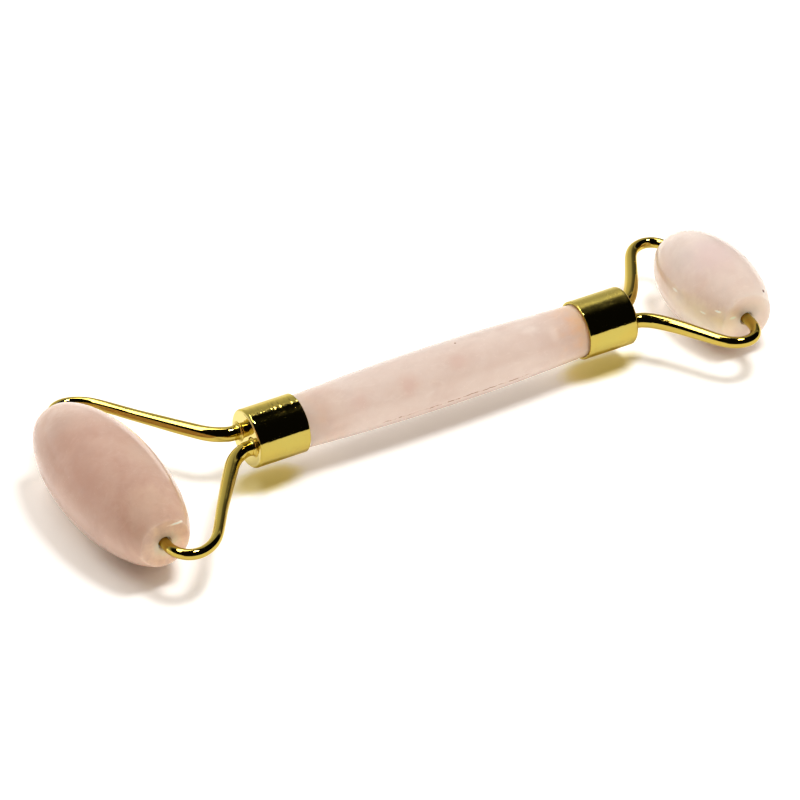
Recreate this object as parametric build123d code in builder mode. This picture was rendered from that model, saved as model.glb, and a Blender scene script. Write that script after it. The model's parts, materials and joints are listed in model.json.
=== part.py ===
from build123d import *
import os
from typing import NamedTuple

os.makedirs("parts", exist_ok=True)

# Double-ended stone face roller.
# X runs along the handle, the large roller is at -X and the small one at +X.
# Y runs along both roller axes, Z is up, the yokes lie flat in the XY plane.
# The origin is the middle of the handle, on its axis. Millimetres.
#
# Profiles are written with x outwards from the middle of the handle, and
# `end` turns them to one end: -1 is the large roller's, +1 the small one's.
# `side` is +1 for a left piece, at +Y, and -1 for a right piece, at -Y.

# handle
HANDLE_HALF = 29.5          # half of the stone seen between the two cups
HANDLE_R_MID = 5.84         # greatest radius of the barrel
HANDLE_R_MOUTH = 4.98       # where the stone enters a cup
SPIGOT_LEN = 6.0            # stone hidden inside each cup
SPIGOT_R_END = 4.80
SPIGOT_CHAMFER = 0.35
SPIGOT_END = HANDLE_HALF + SPIGOT_LEN

# cups (ferrules)
CUP_LEN = 10.4
CUP_R = 5.60
CUP_BORE_R = 5.10
CUP_WALL_END = 1.5          # thickness of the closed end
CUP_EDGE = 0.60             # rounded edge of the closed end
CUP_EDGE_MID = 0.293 * CUP_EDGE     # inset of the middle of that rounding
MOUTH_CHAMFER_OUT = 0.12
MOUTH_CHAMFER_IN = 0.10
CUP_OUT = HANDLE_HALF + CUP_LEN     # outer face of the closed end
CUP_IN = CUP_OUT - CUP_WALL_END     # inner face of the closed end
CUT_MARGIN = 1              # the hole cutters run past the wall on both faces

# adhesive
GLUE_RECESS = 0.45          # it stops short of the cup's mouth
GLUE_MOUTH = HANDLE_HALF + GLUE_RECESS
# radius of the tapered spigot where the adhesive stops
SPIGOT_TAPER = (SPIGOT_R_END - HANDLE_R_MOUTH) / (SPIGOT_LEN - SPIGOT_CHAMFER)
GLUE_R = HANDLE_R_MOUTH + SPIGOT_TAPER * GLUE_RECESS

# arms
TAIL_Y = 2.80               # the two arms leave the cup this far from the axis
TAIL_R = 1.42
TAIL_IN = 2.2               # tail left standing inside the cup
TIP_R = 1.03                # axle tip
TIP_DEPTH = 6.7             # how far the axle tip reaches into the stone
TIP_CHAMFER = 0.25
STATIONS = 26               # spans between cross-sections along each bend

# root collars
COLLAR_LEN = 0.75
COLLAR_R = 1.90
COLLAR_RIM = 0.08           # straight rim against the cup
COLLAR_LIP = 0.05           # thickness left at the thin end
COLLAR_MID = (0.26, 0.19)   # middle of the flare: off the cup, off the arm
ROOT = CUP_OUT + COLLAR_LEN     # where the bend starts

# rollers
OVAL_POWER = 2.1
OVAL_STEPS = 10             # profile steps from the middle to each end
FLAT_SOFT = 0.18            # softened edge of the flat
BORE_R = 1.30
BORE_DEPTH = 7.2
BORE_CHAMFER = 0.12
DRILL_POINT = 0.6           # depth of the cone at the bottom of the bore

# sleeves in the bores
BUSH_CLEARANCE = 0.045      # all round the axle tip
BUSH_R_IN = TIP_R + BUSH_CLEARANCE
BUSH_LEN = 5.4
BUSH_RECESS = 0.70


class Yoke(NamedTuple):
    name: str
    end: int
    roller_reach: float     # roller axis from the middle of the handle
    roller_half: float      # half of the roller's length
    roller_r: float
    flat_r: float           # flat on each end of the roller
    bend: list              # (x, distance from the handle axis) along the arm
    radii: list             # (fraction of the bend, rod radius)

    @property
    def roller_x(self):
        return self.end * self.roller_reach


LARGE_REACH = 67.5
LARGE = Yoke(
    name="large", end=-1,
    roller_reach=LARGE_REACH, roller_half=20.8, roller_r=9.67, flat_r=4.90,
    bend=[
        (ROOT, TAIL_Y), (41.5, 2.86), (42.7, 3.30), (44.9, 4.80), (46.8, 7.05),
        (48.55, 9.40), (50.35, 11.90), (52.1, 14.35), (53.85, 16.80), (55.6, 19.40),
        (57.3, 21.90), (59.2, 24.25), (61.4, 25.80), (63.6, 26.35), (65.6, 25.75),
        (66.95, 24.15), (67.42, 22.80), (LARGE_REACH, 21.80),
    ],
    radii=[
        (0, TAIL_R), (0.12, 1.40), (0.30, 1.28), (0.46, 1.13),
        (0.62, 1.06), (0.80, TIP_R), (1, TIP_R),
    ],
)

SMALL_REACH = 59.0
SMALL = Yoke(
    name="small", end=1,
    roller_reach=SMALL_REACH, roller_half=12.4, roller_r=8.53, flat_r=5.15,
    bend=[
        (ROOT, TAIL_Y), (41.3, 2.88), (42.6, 3.55), (44.6, 5.55), (46.4, 8.05),
        (48.1, 10.85), (49.6, 13.45), (51.0, 15.80), (52.5, 17.55), (54.2, 18.45),
        (56.0, 18.50), (57.6, 17.55), (58.6, 15.85), (58.92, 14.60), (SMALL_REACH, 13.60),
    ],
    radii=[
        (0, TAIL_R), (0.20, 1.38), (0.42, 1.24), (0.62, 1.12),
        (0.78, 1.05), (0.90, TIP_R), (1, TIP_R),
    ],
)

# chamfered end of the spigot, from its side to the handle axis
SPIGOT_NOSE = [
    (SPIGOT_END - SPIGOT_CHAMFER, SPIGOT_R_END),
    (SPIGOT_END, SPIGOT_R_END - SPIGOT_CHAMFER),
    (SPIGOT_END, 0),
]


def at_end(end, points):
    """Turn outward x values to one end of the handle."""
    return [(end * x, y) for x, y in points]


def save(part, name):
    part.label = name
    export_step(part, f"parts/{name}.step")


def handle_stone():
    """A slim barrel with a tapered spigot at each end."""
    half = [(HANDLE_HALF, HANDLE_R_MOUTH), *SPIGOT_NOSE]
    with BuildPart() as handle:
        with BuildSketch(Plane.XY):
            with BuildLine():
                Polyline(*at_end(-1, reversed(half)))
                ThreePointArc(
                    (-HANDLE_HALF, HANDLE_R_MOUTH),
                    (0, HANDLE_R_MID),
                    (HANDLE_HALF, HANDLE_R_MOUTH),
                )
                Polyline(*half)
                Line((SPIGOT_END, 0), (-SPIGOT_END, 0))
            make_face()
        revolve(axis=Axis.X)
    return handle.part


def ferrule(end):
    """A cup, closed outwards, with two holes for the arm tails."""
    edge = at_end(end, [
        (CUP_OUT, CUP_R - CUP_EDGE),
        (CUP_OUT - CUP_EDGE_MID, CUP_R - CUP_EDGE_MID),
        (CUP_OUT - CUP_EDGE, CUP_R),
    ])
    centre = (end * CUP_OUT, 0)
    wall = at_end(end, [
        (HANDLE_HALF + MOUTH_CHAMFER_OUT, CUP_R),
        (HANDLE_HALF, CUP_R - MOUTH_CHAMFER_OUT),
        (HANDLE_HALF, CUP_BORE_R + MOUTH_CHAMFER_IN),
        (HANDLE_HALF + MOUTH_CHAMFER_IN, CUP_BORE_R),
        (CUP_IN, CUP_BORE_R),
        (CUP_IN, 0),
    ])
    with BuildPart() as cup:
        with BuildSketch(Plane.XY):
            with BuildLine():
                Line(centre, edge[0])
                ThreePointArc(*edge)
                Polyline(edge[-1], *wall, centre)
            make_face()
        revolve(axis=Axis.X)
        with BuildSketch(Plane.YZ.offset(end * (CUP_OUT + CUT_MARGIN))):
            with Locations((TAIL_Y, 0), (-TAIL_Y, 0)):
                Circle(TAIL_R)
        extrude(amount=-end * (CUP_WALL_END + 2 * CUT_MARGIN), mode=Mode.SUBTRACT)
    return cup.part


def ferrule_adhesive(end):
    """Fills the cup round the spigot and locks the arm tails."""
    profile = at_end(end, [
        (CUP_IN, 0),
        (CUP_IN, CUP_BORE_R),
        (GLUE_MOUTH, CUP_BORE_R),
        (GLUE_MOUTH, GLUE_R),
        *SPIGOT_NOSE,
    ])
    with BuildPart() as glue:
        with BuildSketch(Plane.XY):
            with BuildLine():
                Polyline(*profile, close=True)
            make_face()
        revolve(axis=Axis.X)
        with BuildSketch(Plane.YZ.offset(end * CUP_IN)):
            with Locations((TAIL_Y, 0), (-TAIL_Y, 0)):
                Circle(TAIL_R)
        extrude(amount=-end * TAIL_IN, mode=Mode.SUBTRACT)
    return glue.part


def rod_radius(table, fraction):
    """Rod radius at a fraction of the bend, straight between table entries."""
    for (start, r_start), (stop, r_stop) in zip(table, table[1:]):
        if fraction <= stop + 1e-9:
            share = (fraction - start) / (stop - start)
            return r_start + (r_stop - r_start) * share


def arm(yoke, side):
    """A formed, tapered rod from the tail in the cup to the axle tip."""
    outward = (yoke.end, 0, 0)
    inward = (-yoke.end, 0, 0)
    into_roller = (0, -side, 0)
    tip_len = yoke.bend[-1][1] - (yoke.roller_half - TIP_DEPTH)
    with BuildPart() as rod:
        with BuildLine(Plane.XY) as bend:
            Spline(*[(yoke.end * x, side * y) for x, y in yoke.bend])
        path = bend.line
        # square to the cup at the root and square to the roller at the tip
        along = [path % (i / STATIONS) for i in range(1, STATIONS)]
        for i, direction in enumerate([outward, *along, into_roller]):
            fraction = i / STATIONS
            with BuildSketch(Plane(origin=path @ fraction, x_dir=(0, 0, 1), z_dir=direction)):
                Circle(rod_radius(yoke.radii, fraction))
        loft()
        # tail through the closed end of the cup
        with BuildSketch(Plane(origin=path @ 0, x_dir=(0, 0, 1), z_dir=inward)):
            Circle(TAIL_R)
        extrude(amount=ROOT - CUP_IN + TAIL_IN)
        # straight axle tip in the sleeve
        with BuildSketch(Plane(origin=path @ 1, x_dir=(0, 0, 1), z_dir=into_roller)):
            Circle(TIP_R)
        extrude(amount=tip_len)
        # the tip's end face is the one nearest the middle of the roller
        innermost = 0 if side > 0 else -1
        chamfer(faces().filter_by(Plane.XZ).sort_by(Axis.Y)[innermost].edges(), TIP_CHAMFER)
    return rod.part


def arm_collar(end, side):
    """A flared ring of braze round an arm where it leaves the cup."""
    arm_y = side * TAIL_Y
    off_cup, off_arm = COLLAR_MID
    thin_end = (end * ROOT, arm_y + TAIL_R + COLLAR_LIP)
    rim = (end * (CUP_OUT + COLLAR_RIM), arm_y + COLLAR_R)
    with BuildPart() as collar:
        with BuildSketch(Plane.XY):
            with BuildLine():
                Polyline(
                    thin_end,
                    (end * ROOT, arm_y + TAIL_R),
                    (end * CUP_OUT, arm_y + TAIL_R),
                    (end * CUP_OUT, arm_y + COLLAR_R),
                    rim,
                )
                flare = (end * (CUP_OUT + off_cup), arm_y + TAIL_R + off_arm)
                ThreePointArc(rim, flare, thin_end)
            make_face()
        revolve(axis=Axis((0, arm_y, 0), (1, 0, 0)))
    return collar.part


def belly(half, r_max, r_flat):
    """(radius, y) points of the oval side, from the -Y end to the +Y end."""
    drop = 1 - (r_flat / r_max) ** OVAL_POWER
    last = 1 - FLAT_SOFT / half
    inner = [i / OVAL_STEPS for i in range(1 - OVAL_STEPS, OVAL_STEPS)]
    return [
        (r_max * (1 - drop * t * t) ** (1 / OVAL_POWER), half * t)
        for t in [-last, *inner, last]
    ]


def roller_end(half, r_flat):
    """(radius, y) points of the flat, bore mouth, bore and drill point at +Y."""
    return [
        (r_flat - FLAT_SOFT, half),
        (BORE_R + BORE_CHAMFER, half),
        (BORE_R, half - BORE_CHAMFER),
        (BORE_R, half - BORE_DEPTH),
        (0, half - BORE_DEPTH - DRILL_POINT),
    ]


def roller_stone(yoke):
    """An oval of revolution about Y, a flat and a blind bore at each end."""
    axis_x = yoke.roller_x
    side_points = [
        (axis_x + r, y) for r, y in belly(yoke.roller_half, yoke.roller_r, yoke.flat_r)
    ]
    end_points = [(axis_x + r, y) for r, y in roller_end(yoke.roller_half, yoke.flat_r)]
    with BuildPart() as roller:
        with BuildSketch(Plane.XY):
            with BuildLine():
                Spline(*side_points)
                Polyline(
                    side_points[-1],
                    *end_points,
                    *[(x, -y) for x, y in reversed(end_points)],
                    side_points[0],
                )
            make_face()
        revolve(axis=Axis((axis_x, 0, 0), (0, 1, 0)))
    return roller.part


def bush(yoke, side):
    """A thin nylon tube pressed in a bore."""
    mouth = (yoke.roller_x, side * (yoke.roller_half - BUSH_RECESS), 0)
    with BuildPart() as sleeve:
        with BuildSketch(Plane(origin=mouth, x_dir=(1, 0, 0), z_dir=(0, -side, 0))):
            Circle(BORE_R)
            Circle(BUSH_R_IN, mode=Mode.SUBTRACT)
        extrude(amount=BUSH_LEN)
    return sleeve.part


save(handle_stone(), "handle_stone")
for yoke in (LARGE, SMALL):
    save(ferrule(yoke.end), f"{yoke.name}_ferrule")
    save(ferrule_adhesive(yoke.end), f"{yoke.name}_ferrule_adhesive")
    save(roller_stone(yoke), f"{yoke.name}_roller_stone")
    for side_name, side in (("left", 1), ("right", -1)):
        save(arm(yoke, side), f"{yoke.name}_arm_{side_name}")
        save(arm_collar(yoke.end, side), f"{yoke.name}_arm_collar_{side_name}")
        save(bush(yoke, side), f"{yoke.name}_bush_{side_name}")
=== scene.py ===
"""Facial roller: a rose quartz handle with a quartz roller on a gilt fork at each end.

The handle lies along X, centred on the origin, the large roller at -X and the small one
at +X. Both rollers turn about axes parallel to Y. The front is -Y and +Z is up.
"""

import json
import math
from typing import NamedTuple

import bmesh
import bpy
import numpy as np
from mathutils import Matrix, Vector, noise

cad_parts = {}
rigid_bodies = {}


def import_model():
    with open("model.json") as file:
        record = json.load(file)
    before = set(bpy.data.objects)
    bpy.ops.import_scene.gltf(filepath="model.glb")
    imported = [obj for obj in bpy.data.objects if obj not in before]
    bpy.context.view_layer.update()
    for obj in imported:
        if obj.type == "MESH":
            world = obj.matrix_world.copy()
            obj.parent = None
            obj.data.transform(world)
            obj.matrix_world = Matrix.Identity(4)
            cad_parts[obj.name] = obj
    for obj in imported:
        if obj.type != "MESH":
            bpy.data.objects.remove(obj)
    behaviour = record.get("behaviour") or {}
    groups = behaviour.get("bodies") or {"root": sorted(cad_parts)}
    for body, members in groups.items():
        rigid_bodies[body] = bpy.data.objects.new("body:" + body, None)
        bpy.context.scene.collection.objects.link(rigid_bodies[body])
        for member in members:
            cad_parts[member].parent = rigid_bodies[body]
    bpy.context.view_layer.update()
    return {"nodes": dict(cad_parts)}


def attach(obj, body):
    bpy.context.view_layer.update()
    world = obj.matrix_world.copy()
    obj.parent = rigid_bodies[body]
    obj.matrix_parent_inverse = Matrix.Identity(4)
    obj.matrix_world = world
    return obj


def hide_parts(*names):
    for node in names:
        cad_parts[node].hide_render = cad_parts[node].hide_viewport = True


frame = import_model()

MM = 0.001

# ---------------------------------------------------------------------------
# Dimensions, millimetres, as in the CAD. Meshes are scaled to metres when built.
# ---------------------------------------------------------------------------
HANDLE_HALF = 29.5          # bare stone, centre to cup mouth
HANDLE_R_MID = 5.84
HANDLE_R_MOUTH = 4.98
SPIGOT_END = 35.5           # stone end inside the cup
SPIGOT_R_END = 4.80
SPIGOT_CHAMFER = 0.35
CUP_R = 5.60
CUP_BORE_R = 5.10
CUP_EDGE = 0.60             # rounding of the closed end
CUP_OUT = 39.9              # outer face of the closed end
CUP_IN = 38.4               # inner face of the closed end
TAIL_Y = 2.80               # arm tails, off the handle axis
TAIL_R = 1.42
TAIL_IN = 2.2               # tail length inside the cup
TAIL_CHAMFER = 0.2
COLLAR_R = 1.90             # braze fillet at the cup
FILLET_R = TAIL_R + 0.05    # braze fillet at its thin end
ROOT = 40.65                # where the arm starts to bend
TIP_R = 1.03
TIP_CHAMFER = 0.25
TIP_DEPTH = 6.7             # arm tip inside the roller
BORE_R = 1.30
BORE_DEPTH = 7.2
OVAL_POWER = 2.1            # superellipse exponent of the roller outline
WORN_EDGE = 0.26            # size of the rounding between end flat and oval


class Roller(NamedTuple):
    """A roller stone and the arms that hold it."""
    name: str
    x: float                # roller axis
    half: float             # half length along Y
    radius: float           # at the middle
    flat: float             # radius of the flat ends
    bend: list              # arm centre line (x, y), from the root to the roller axis
    taper: list             # (fraction of the bend's length, arm radius)

    @property
    def side(self):
        return 1 if self.x > 0 else -1


LARGE = Roller(
    name="large", x=-67.5, half=20.8, radius=9.67, flat=4.90,
    bend=[
        (-ROOT, TAIL_Y), (-41.5, 2.86), (-42.7, 3.30), (-44.9, 4.80), (-46.8, 7.05),
        (-48.55, 9.40), (-50.35, 11.90), (-52.1, 14.35), (-53.85, 16.80),
        (-55.6, 19.40), (-57.3, 21.90), (-59.2, 24.25), (-61.4, 25.80),
        (-63.6, 26.35), (-65.6, 25.75), (-66.95, 24.15), (-67.42, 22.80), (-67.5, 21.80),
    ],
    taper=[(0, TAIL_R), (0.12, 1.40), (0.30, 1.28), (0.46, 1.13), (0.62, 1.06),
           (0.80, TIP_R), (1, TIP_R)],
)
SMALL = Roller(
    name="small", x=59.0, half=12.4, radius=8.53, flat=5.15,
    bend=[
        (ROOT, TAIL_Y), (41.3, 2.88), (42.6, 3.55), (44.6, 5.55), (46.4, 8.05),
        (48.1, 10.85), (49.6, 13.45), (51.0, 15.80), (52.5, 17.55), (54.2, 18.45),
        (56.0, 18.50), (57.6, 17.55), (58.6, 15.85), (58.92, 14.60), (59.0, 13.60),
    ],
    taper=[(0, TAIL_R), (0.20, 1.38), (0.42, 1.24), (0.62, 1.12), (0.78, 1.05),
           (0.90, TIP_R), (1, TIP_R)],
)


# ---------------------------------------------------------------------------
# Shader nodes: a Signal is a node output that can be used in arithmetic
# ---------------------------------------------------------------------------
def add_node(tree, kind, inputs=None, **props):
    """Adds a node; each input is a Signal to link or a value to set."""
    node = tree.nodes.new(kind)
    for key, value in props.items():
        setattr(node, key, value)
    for key, value in (inputs or {}).items():
        if isinstance(value, Signal):
            tree.links.new(value.socket, node.inputs[key])
        else:
            node.inputs[key].default_value = value
    return node


def signal(tree, kind, inputs=None, output=0, **props):
    """Adds a node and returns one of its outputs."""
    return Signal(tree, add_node(tree, kind, inputs, **props).outputs[output])


def math_method(operation, swapped=False):
    """A Signal method that adds a Math node; swapped puts the other operand first."""
    def method(self, other=0.0):
        first, second = (other, self) if swapped else (self, other)
        inputs = {0: first, 1: second, 2: 0.0}
        return signal(self.tree, "ShaderNodeMath", inputs, operation=operation)
    return method


class Signal:
    def __init__(self, tree, socket):
        self.tree = tree
        self.socket = socket

    __add__ = math_method("ADD")
    __radd__ = math_method("ADD", swapped=True)
    __sub__ = math_method("SUBTRACT")
    __rsub__ = math_method("SUBTRACT", swapped=True)
    __mul__ = math_method("MULTIPLY")
    __rmul__ = math_method("MULTIPLY", swapped=True)
    __truediv__ = math_method("DIVIDE")
    __pow__ = math_method("POWER")
    __rpow__ = math_method("POWER", swapped=True)
    __abs__ = math_method("ABSOLUTE")
    root = math_method("SQRT")
    larger = math_method("MAXIMUM")
    above = math_method("GREATER_THAN")
    angle = math_method("ARCTAN2")

    def map_range(self, span, out, kind):
        inputs = {"Value": self, "From Min": span[0], "From Max": span[1],
                  "To Min": out[0], "To Max": out[1]}
        return signal(self.tree, "ShaderNodeMapRange", inputs, interpolation_type=kind)

    def smooth(self, span, out=(0.0, 1.0)):
        return self.map_range(span, out, "SMOOTHSTEP")

    def linear(self, span, out=(0.0, 1.0)):
        return self.map_range(span, out, "LINEAR")

    def blend(self, first, second):
        """Colour mix: first where this signal is 0, second where it is 1."""
        first, second = (c if isinstance(c, Signal) else (*c, 1.0) for c in (first, second))
        inputs = {0: self, 6: first, 7: second}
        return signal(self.tree, "ShaderNodeMix", inputs, output=2, data_type="RGBA")

    def bump(self, distance, strength):
        inputs = {"Height": self, "Distance": distance, "Strength": strength}
        return signal(self.tree, "ShaderNodeBump", inputs)

    def noise(self, scale, detail=2.0, rough=0.5, distort=0.0):
        inputs = {"Vector": self, "Scale": scale, "Detail": detail, "Roughness": rough,
                  "Distortion": distort}
        return signal(self.tree, "ShaderNodeTexNoise", inputs)

    def scaled(self, factors):
        return signal(self.tree, "ShaderNodeMapping", {"Vector": self, "Scale": factors})

    def vector(self, operation, other, output=0):
        inputs = {0: self, 1: other}
        return signal(self.tree, "ShaderNodeVectorMath", inputs, output, operation=operation)

    def shifted(self, offset):
        return self.vector("ADD", offset)

    def length(self):
        return signal(self.tree, "ShaderNodeVectorMath", {0: self}, "Value", operation="LENGTH")

    def xyz(self):
        node = add_node(self.tree, "ShaderNodeSeparateXYZ", {0: self})
        return [Signal(self.tree, socket) for socket in node.outputs]


def start_material(name):
    """New material, its empty node tree and the object-space point in millimetres."""
    material = bpy.data.materials.new(name)
    material.use_nodes = True
    tree = material.node_tree
    tree.nodes.clear()
    point = signal(tree, "ShaderNodeTexCoord", output="Object").scaled((1000.0,) * 3)
    return material, tree, point


def principled(tree, inputs, **props):
    return signal(tree, "ShaderNodeBsdfPrincipled", inputs, **props)


def set_surface(tree, shader):
    add_node(tree, "ShaderNodeOutputMaterial", {"Surface": shader})


# ---------------------------------------------------------------------------
# Rose quartz
# ---------------------------------------------------------------------------
LIGHT_REACH = (1.0, 0.90, 0.84)         # subsurface radius, red to blue
LIGHT_REACH_SCALE = 40.0 * MM
# painted light: gain that lifts the stone's colour where its light reach is cut short
SHALLOW_PAINTED_LIGHT_GAIN = (1.36, 1.34, 1.27)       # colour gain where light reaches less deep
COLOUR_LIMIT = (0.93, 0.90, 0.87)
SPECK_BROWN = (0.30, 0.17, 0.11)
FALLING = (1.0, 0.0)


def stone(name, pale, rose, milk, seed, grain, rough, depth, clouds_and_painted_light, specks=(),
          streak=(1.0, 1.0, 1.0), overlay=None):
    """Polished, cloudy quartz.

    clouds_and_painted_light: (centre mm, size mm, colour, strength), rose patches in the stone
    and also painted light, shade and highlights; specks: (centre mm, radius mm, colour).
    depth(point) scales the light's reach; overlay(point, colour) paints on top.
    """
    material, tree, point = start_material(name)
    field = point.scaled(streak).shifted((seed * 17.3, seed * 5.1, seed * 9.7))

    # broad clouds of rose in the pale body
    slow = field.noise(scale=0.105 * grain, detail=3.0, rough=0.55, distort=0.9)
    quick = field.shifted((31.0, 7.0, 3.0)).noise(
        scale=0.30 * grain, detail=4.0, rough=0.6, distort=0.5)
    colour = (slow * 0.68 + quick * 0.32).smooth(span=(0.36, 0.64)).blend(pale, rose)

    # thin milky healed fractures: where two slow noises cross their middle value
    wide = field.shifted((3.0, 19.0, 41.0)).noise(
        scale=0.16 * grain, detail=3.5, rough=0.55, distort=1.2)
    wide = abs(wide - 0.5).smooth(span=(0.0, 0.05), out=FALLING)
    fine = field.shifted((53.0, 2.0, 11.0)).noise(
        scale=0.42 * grain, detail=3.0, rough=0.5, distort=1.8)
    fine = abs(fine - 0.52).smooth(span=(0.0, 0.03), out=FALLING)
    gate = field.shifted((5.0, 77.0, 23.0)).noise(scale=0.11 * grain)
    gate = gate.smooth(span=(0.44, 0.62))
    veins = (wide * 0.55).larger(fine * 0.40) * gate
    colour = (veins * 0.28).blend(colour, milk)

    # milky floating wisps and a fine cloudy grain
    wisps = field.shifted((9.0, 9.0, 70.0)).scaled((1.0, 1.9, 1.3)).noise(
        scale=0.55 * grain, detail=5.0, rough=0.62, distort=0.8)
    colour = (wisps.smooth(span=(0.52, 0.74)) * 0.30).blend(colour, milk)
    cloudy = field.shifted((1.0, 2.0, 3.0)).noise(scale=2.6, detail=4.0, rough=0.7)
    colour = cloudy.linear(span=(0.35, 0.65), out=(0.0, 0.06)).blend(colour, rose)

    # rose clouds in the stone, and patches of painted light, painted shade and painted
    # highlights
    for centre, size, tint, strength in clouds_and_painted_light:
        offset = point.vector("SUBTRACT", centre).scaled(tuple(1.0 / s for s in size))
        wobble = (field.noise(scale=0.45, detail=3.0, rough=0.6) - 0.5) * 0.9
        amount = (offset.length() + wobble).smooth(span=(0.15, 1.0), out=(strength, 0.0))
        colour = amount.blend(colour, tint)

    # small mineral specks scattered by a cell pattern, then the placed ones
    cells = signal(tree, "ShaderNodeTexVoronoi",
                   {"Vector": field, "Scale": 0.55, "Randomness": 1.0},
                   output="Distance", feature="F1")
    chosen = field.shifted((8.0, 8.0, 8.0)).noise(scale=0.35, detail=1.0).above(0.66)
    tiny = cells.smooth(span=(0.045, 0.075), out=FALLING) * chosen
    colour = (tiny * 0.55).blend(colour, SPECK_BROWN)
    for centre, size, tint in specks:
        wobble = (point.noise(scale=2.2, detail=2.0) - 0.5) * (size * 0.9)
        reach = point.vector("DISTANCE", centre, output="Value") + wobble
        amount = reach.smooth(span=(size * 0.7, size * 1.25), out=FALLING)
        colour = amount.blend(colour, tint)

    # where light reaches less deep the colour is painted lighter, painted light that keeps the
    # tone even
    deep = depth(point)
    colour = deep.blend(colour.vector("MULTIPLY", SHALLOW_PAINTED_LIGHT_GAIN), colour)
    colour = colour.vector("MINIMUM", COLOUR_LIMIT)
    if overlay:
        colour = overlay(point, colour)

    # hand polish: soft unevenness, faint grinding marks, sparse pits
    polish = field.noise(scale=0.9, detail=3.0, rough=0.55)
    marks = point.scaled((9.0, 0.9, 9.0)).noise(scale=1.0, detail=3.0, rough=0.6)
    cross_marks = point.scaled((1.1, 8.0, 2.0)).noise(scale=1.3, detail=3.0, rough=0.6)
    pits = field.noise(scale=3.4, detail=2.0, rough=0.4).smooth(span=(0.26, 0.31))
    roughness = (polish.linear(span=(0.3, 0.7), out=(rough - 0.03, rough + 0.05))
                 + (1.0 - pits) * 0.20
                 + marks.linear(span=(0.55, 0.75), out=(0.0, 0.05))
                 + veins * 0.08)
    height = polish * 0.006 + (marks * 0.00008 + cross_marks * 0.00008) + pits * 0.0025
    normal = height.bump(distance=MM, strength=0.75)

    set_surface(tree, principled(tree, {
        "Base Color": colour,
        "Roughness": roughness,
        "IOR": 1.544,
        "Normal": normal,
        "Subsurface Weight": 1.0,
        "Subsurface Radius": LIGHT_REACH,
        "Subsurface Scale": deep * LIGHT_REACH_SCALE,
        "Specular IOR Level": 0.36,
    }, subsurface_method="RANDOM_WALK"))
    return material


def near_bores(roller):
    """Light reaches less deep close to the two drilled holes of a roller."""
    def depth(point):
        x, y, z = point.xyz()
        off_axis = ((x - roller.x) ** 2.0 + z ** 2.0).root()
        core = off_axis.smooth(span=(4.0, 10.0), out=FALLING)
        end = abs(y).smooth(span=(roller.half - 11.0, roller.half - 6.5))
        rim = off_axis.smooth(span=(1.5, 3.0), out=FALLING) * end
        rim = rim.linear(span=(0.0, 1.0), out=(1.0, 0.5))
        return (core * end).linear(span=(0.0, 1.0), out=(1.0, 0.14)) * rim
    return depth


def near_cups(point):
    """Light reaches less deep where the cups take over from the bare stone."""
    return abs(point.xyz()[0]).smooth(span=(19.0, 27.5), out=(1.0, 0.12))


def low_brown_line(point, colour):
    """A fine, broken brown line painted along the lower front of the handle."""
    x, y, z = point.xyz()
    drift = point.scaled((0.35, 0.0, 0.0)).noise(scale=1.0, detail=3.0, rough=0.6)
    drift = (drift - 0.5) * 1.1
    off_line = abs(z + 2.20 - drift)
    amount = off_line.smooth(span=(0.07, 0.21), out=FALLING) * y.smooth(span=(-1.0, -2.0))
    amount *= x.smooth(span=(-15.0, -12.5)) * x.smooth(span=(14.5, 17.5), out=FALLING)
    breaks = point.scaled((0.8, 0.1, 0.1)).noise(scale=1.0, detail=3.0, rough=0.6)
    amount *= breaks.smooth(span=(0.42, 0.56), out=(0.15, 0.9))
    return amount.blend(colour, (0.20, 0.11, 0.065))


# ---------------------------------------------------------------------------
# Gold plate, nylon and adhesive
# ---------------------------------------------------------------------------
def gold(name, wave, base=(0.455, 0.374, 0.084), rough=0.04, stretch=(1.0, 1.0, 1.0),
         wall=None):
    """Gold plate. wave scales the surface waves, stretch their grain on X, Y and Z.

    wall(point, roughness, colour) returns a changed roughness and colour.
    """
    def toned(red, green, blue):
        return base[0] * red, base[1] * green, base[2] * blue

    material, tree, point = start_material(name)
    # the plate's colour drifts a little, and is browner in tarnish
    drift = point.noise(scale=0.22, detail=3.0, rough=0.6, distort=0.4)
    tarnish = point.shifted((7.0, 3.0, 1.0)).noise(scale=1.9, detail=4.0, rough=0.65)
    colour = drift.linear(span=(0.35, 0.65)).blend(base, toned(1.03, 0.965, 0.90))
    tarnish = tarnish.linear(span=(0.56, 0.78), out=(0.0, 0.30))
    colour = tarnish.blend(colour, toned(0.80, 0.76, 0.8))

    # fingerprints and smears, hairline scratches in two directions, pits
    smear = point.scaled((0.55, 0.9, 0.7)).noise(scale=0.8, detail=4.0, rough=0.6, distort=1.4)
    smear = smear.smooth(span=(0.50, 0.68))
    round_it = point.scaled((14.0, 0.8, 0.8)).noise(scale=1.0, detail=3.0, rough=0.7)
    along_it = point.shifted((3.0, 5.0, 7.0)).scaled((1.2, 12.0, 12.0)).noise(
        scale=0.9, detail=3.0, rough=0.7)
    hair = round_it.smooth(span=(0.60, 0.72)).larger(along_it.smooth(span=(0.62, 0.74)))
    pits = point.noise(scale=4.5, detail=2.0, rough=0.5).smooth(span=(0.25, 0.30))
    roughness = smear * 0.025 + hair * 0.04 + ((1.0 - pits) * 0.16 + rough)

    # long soft waves left by drawing and bending, under the polish
    broad = point.scaled(stretch).noise(scale=0.55, detail=2.0, rough=0.45, distort=0.3)
    fine = point.scaled(stretch).noise(scale=2.1, detail=3.0, rough=0.5, distort=0.3)
    height = broad * (0.030 * wave) + fine * (0.0045 * wave) + (pits * 0.0015 - hair * 0.0006)
    if wall:
        roughness, colour = wall(point, roughness, colour)
    normal = height.bump(distance=MM, strength=1.0)
    set_surface(tree, principled(tree, {
        "Base Color": colour,
        "Metallic": 1.0,
        "Roughness": roughness,
        "Normal": normal,
        "Specular Tint": (1.0, 0.93, 0.70, 1.0),
    }))
    return material


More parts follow.
